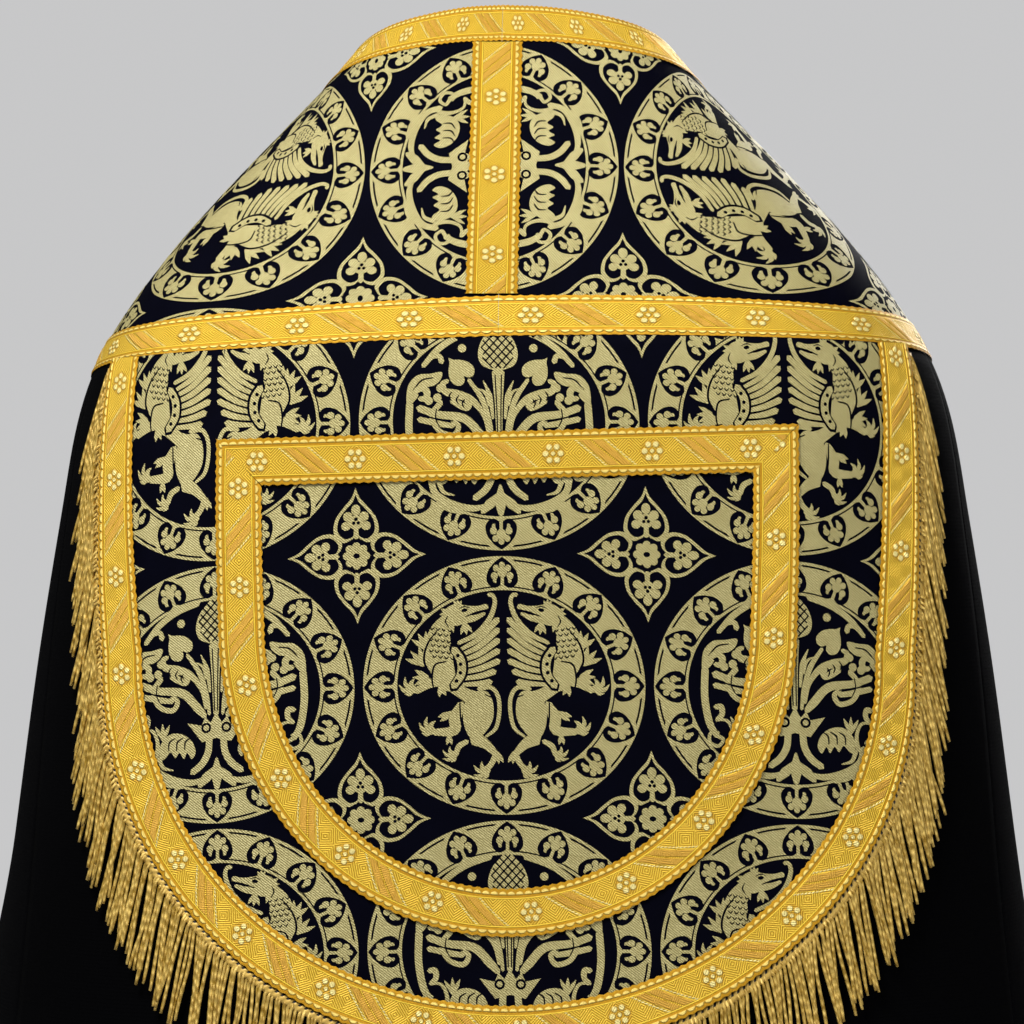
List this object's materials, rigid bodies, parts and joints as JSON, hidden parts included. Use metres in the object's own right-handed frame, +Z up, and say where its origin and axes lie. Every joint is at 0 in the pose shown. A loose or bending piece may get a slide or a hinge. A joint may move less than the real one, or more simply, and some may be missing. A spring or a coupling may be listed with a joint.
{
  "type": "cope vestment",
  "caption": "Worn cope: hollow round-cut cloak with a brocade orphrey edged in galloon, a fringed shield hood at the back and a plain tab fastening it at the chest.",
  "frame": {"origin": "middle of the neck opening at the height of the neck braid at the centre back (the nape), where the wearer's neck and shoulders hold it", "axes": "+Z up; the back with its hood faces -Y, the open fronts face +Y; +X is to the right of someone who looks at the back"},
  "size_m": [1.0415, 0.6185, 1.4262],
  "materials": {
    "cloak_cloth": "matt black cloth",
    "brocade": "blue-black brocade with pale gold woven roundels",
    "galloon": "yellow-gold woven braid",
    "bullion": "twisted pale gold bullion cords"
  },
  "bodies": {
    "root": {"body_back": "cloak_cloth", "body_left": "cloak_cloth", "body_right": "cloak_cloth", "orphrey_left": "brocade", "orphrey_right": "brocade", "hood": "brocade", "morse": "brocade", "galloon_neck_left": "galloon", "galloon_neck_right": "galloon", "galloon_lower_left": "galloon", "galloon_lower_right": "galloon", "galloon_centre": "galloon", "galloon_hood": "galloon", "galloon_shield": "galloon", "fringe": "bullion"}
  },
  "joints": []
}
